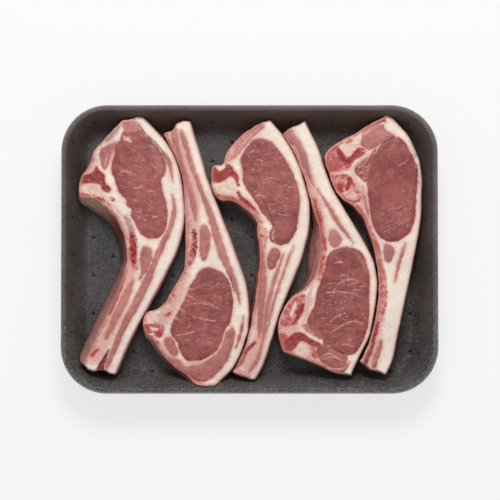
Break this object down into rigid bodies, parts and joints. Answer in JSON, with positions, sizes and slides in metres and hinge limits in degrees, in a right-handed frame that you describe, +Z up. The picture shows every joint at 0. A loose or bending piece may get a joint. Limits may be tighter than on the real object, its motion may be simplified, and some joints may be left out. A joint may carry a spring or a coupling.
{
  "type": "meat tray pack",
  "caption": "Rounded rectangular foam meat tray with lamb rib chops laid side by side, head to tail, open on top.",
  "frame": {"origin": "centre of the tray's outline, on the surface that the tray stands on", "axes": "+X along the tray's long side towards the fifth chop, +Y along its short side towards the loin ends of chops 1, 3 and 5, +Z up"},
  "size_m": [0.234, 0.179, 0.027],
  "materials": {
    "black_foam": "black expanded polystyrene foam with a fine pale fleck and small pin dimples",
    "raw_meat": null
  },
  "bodies": {
    "root": {"tray": "black_foam", "chop_1": "raw_meat", "chop_2": "raw_meat", "chop_3": "raw_meat", "chop_4": "raw_meat", "chop_5": "raw_meat"}
  },
  "joints": []
}
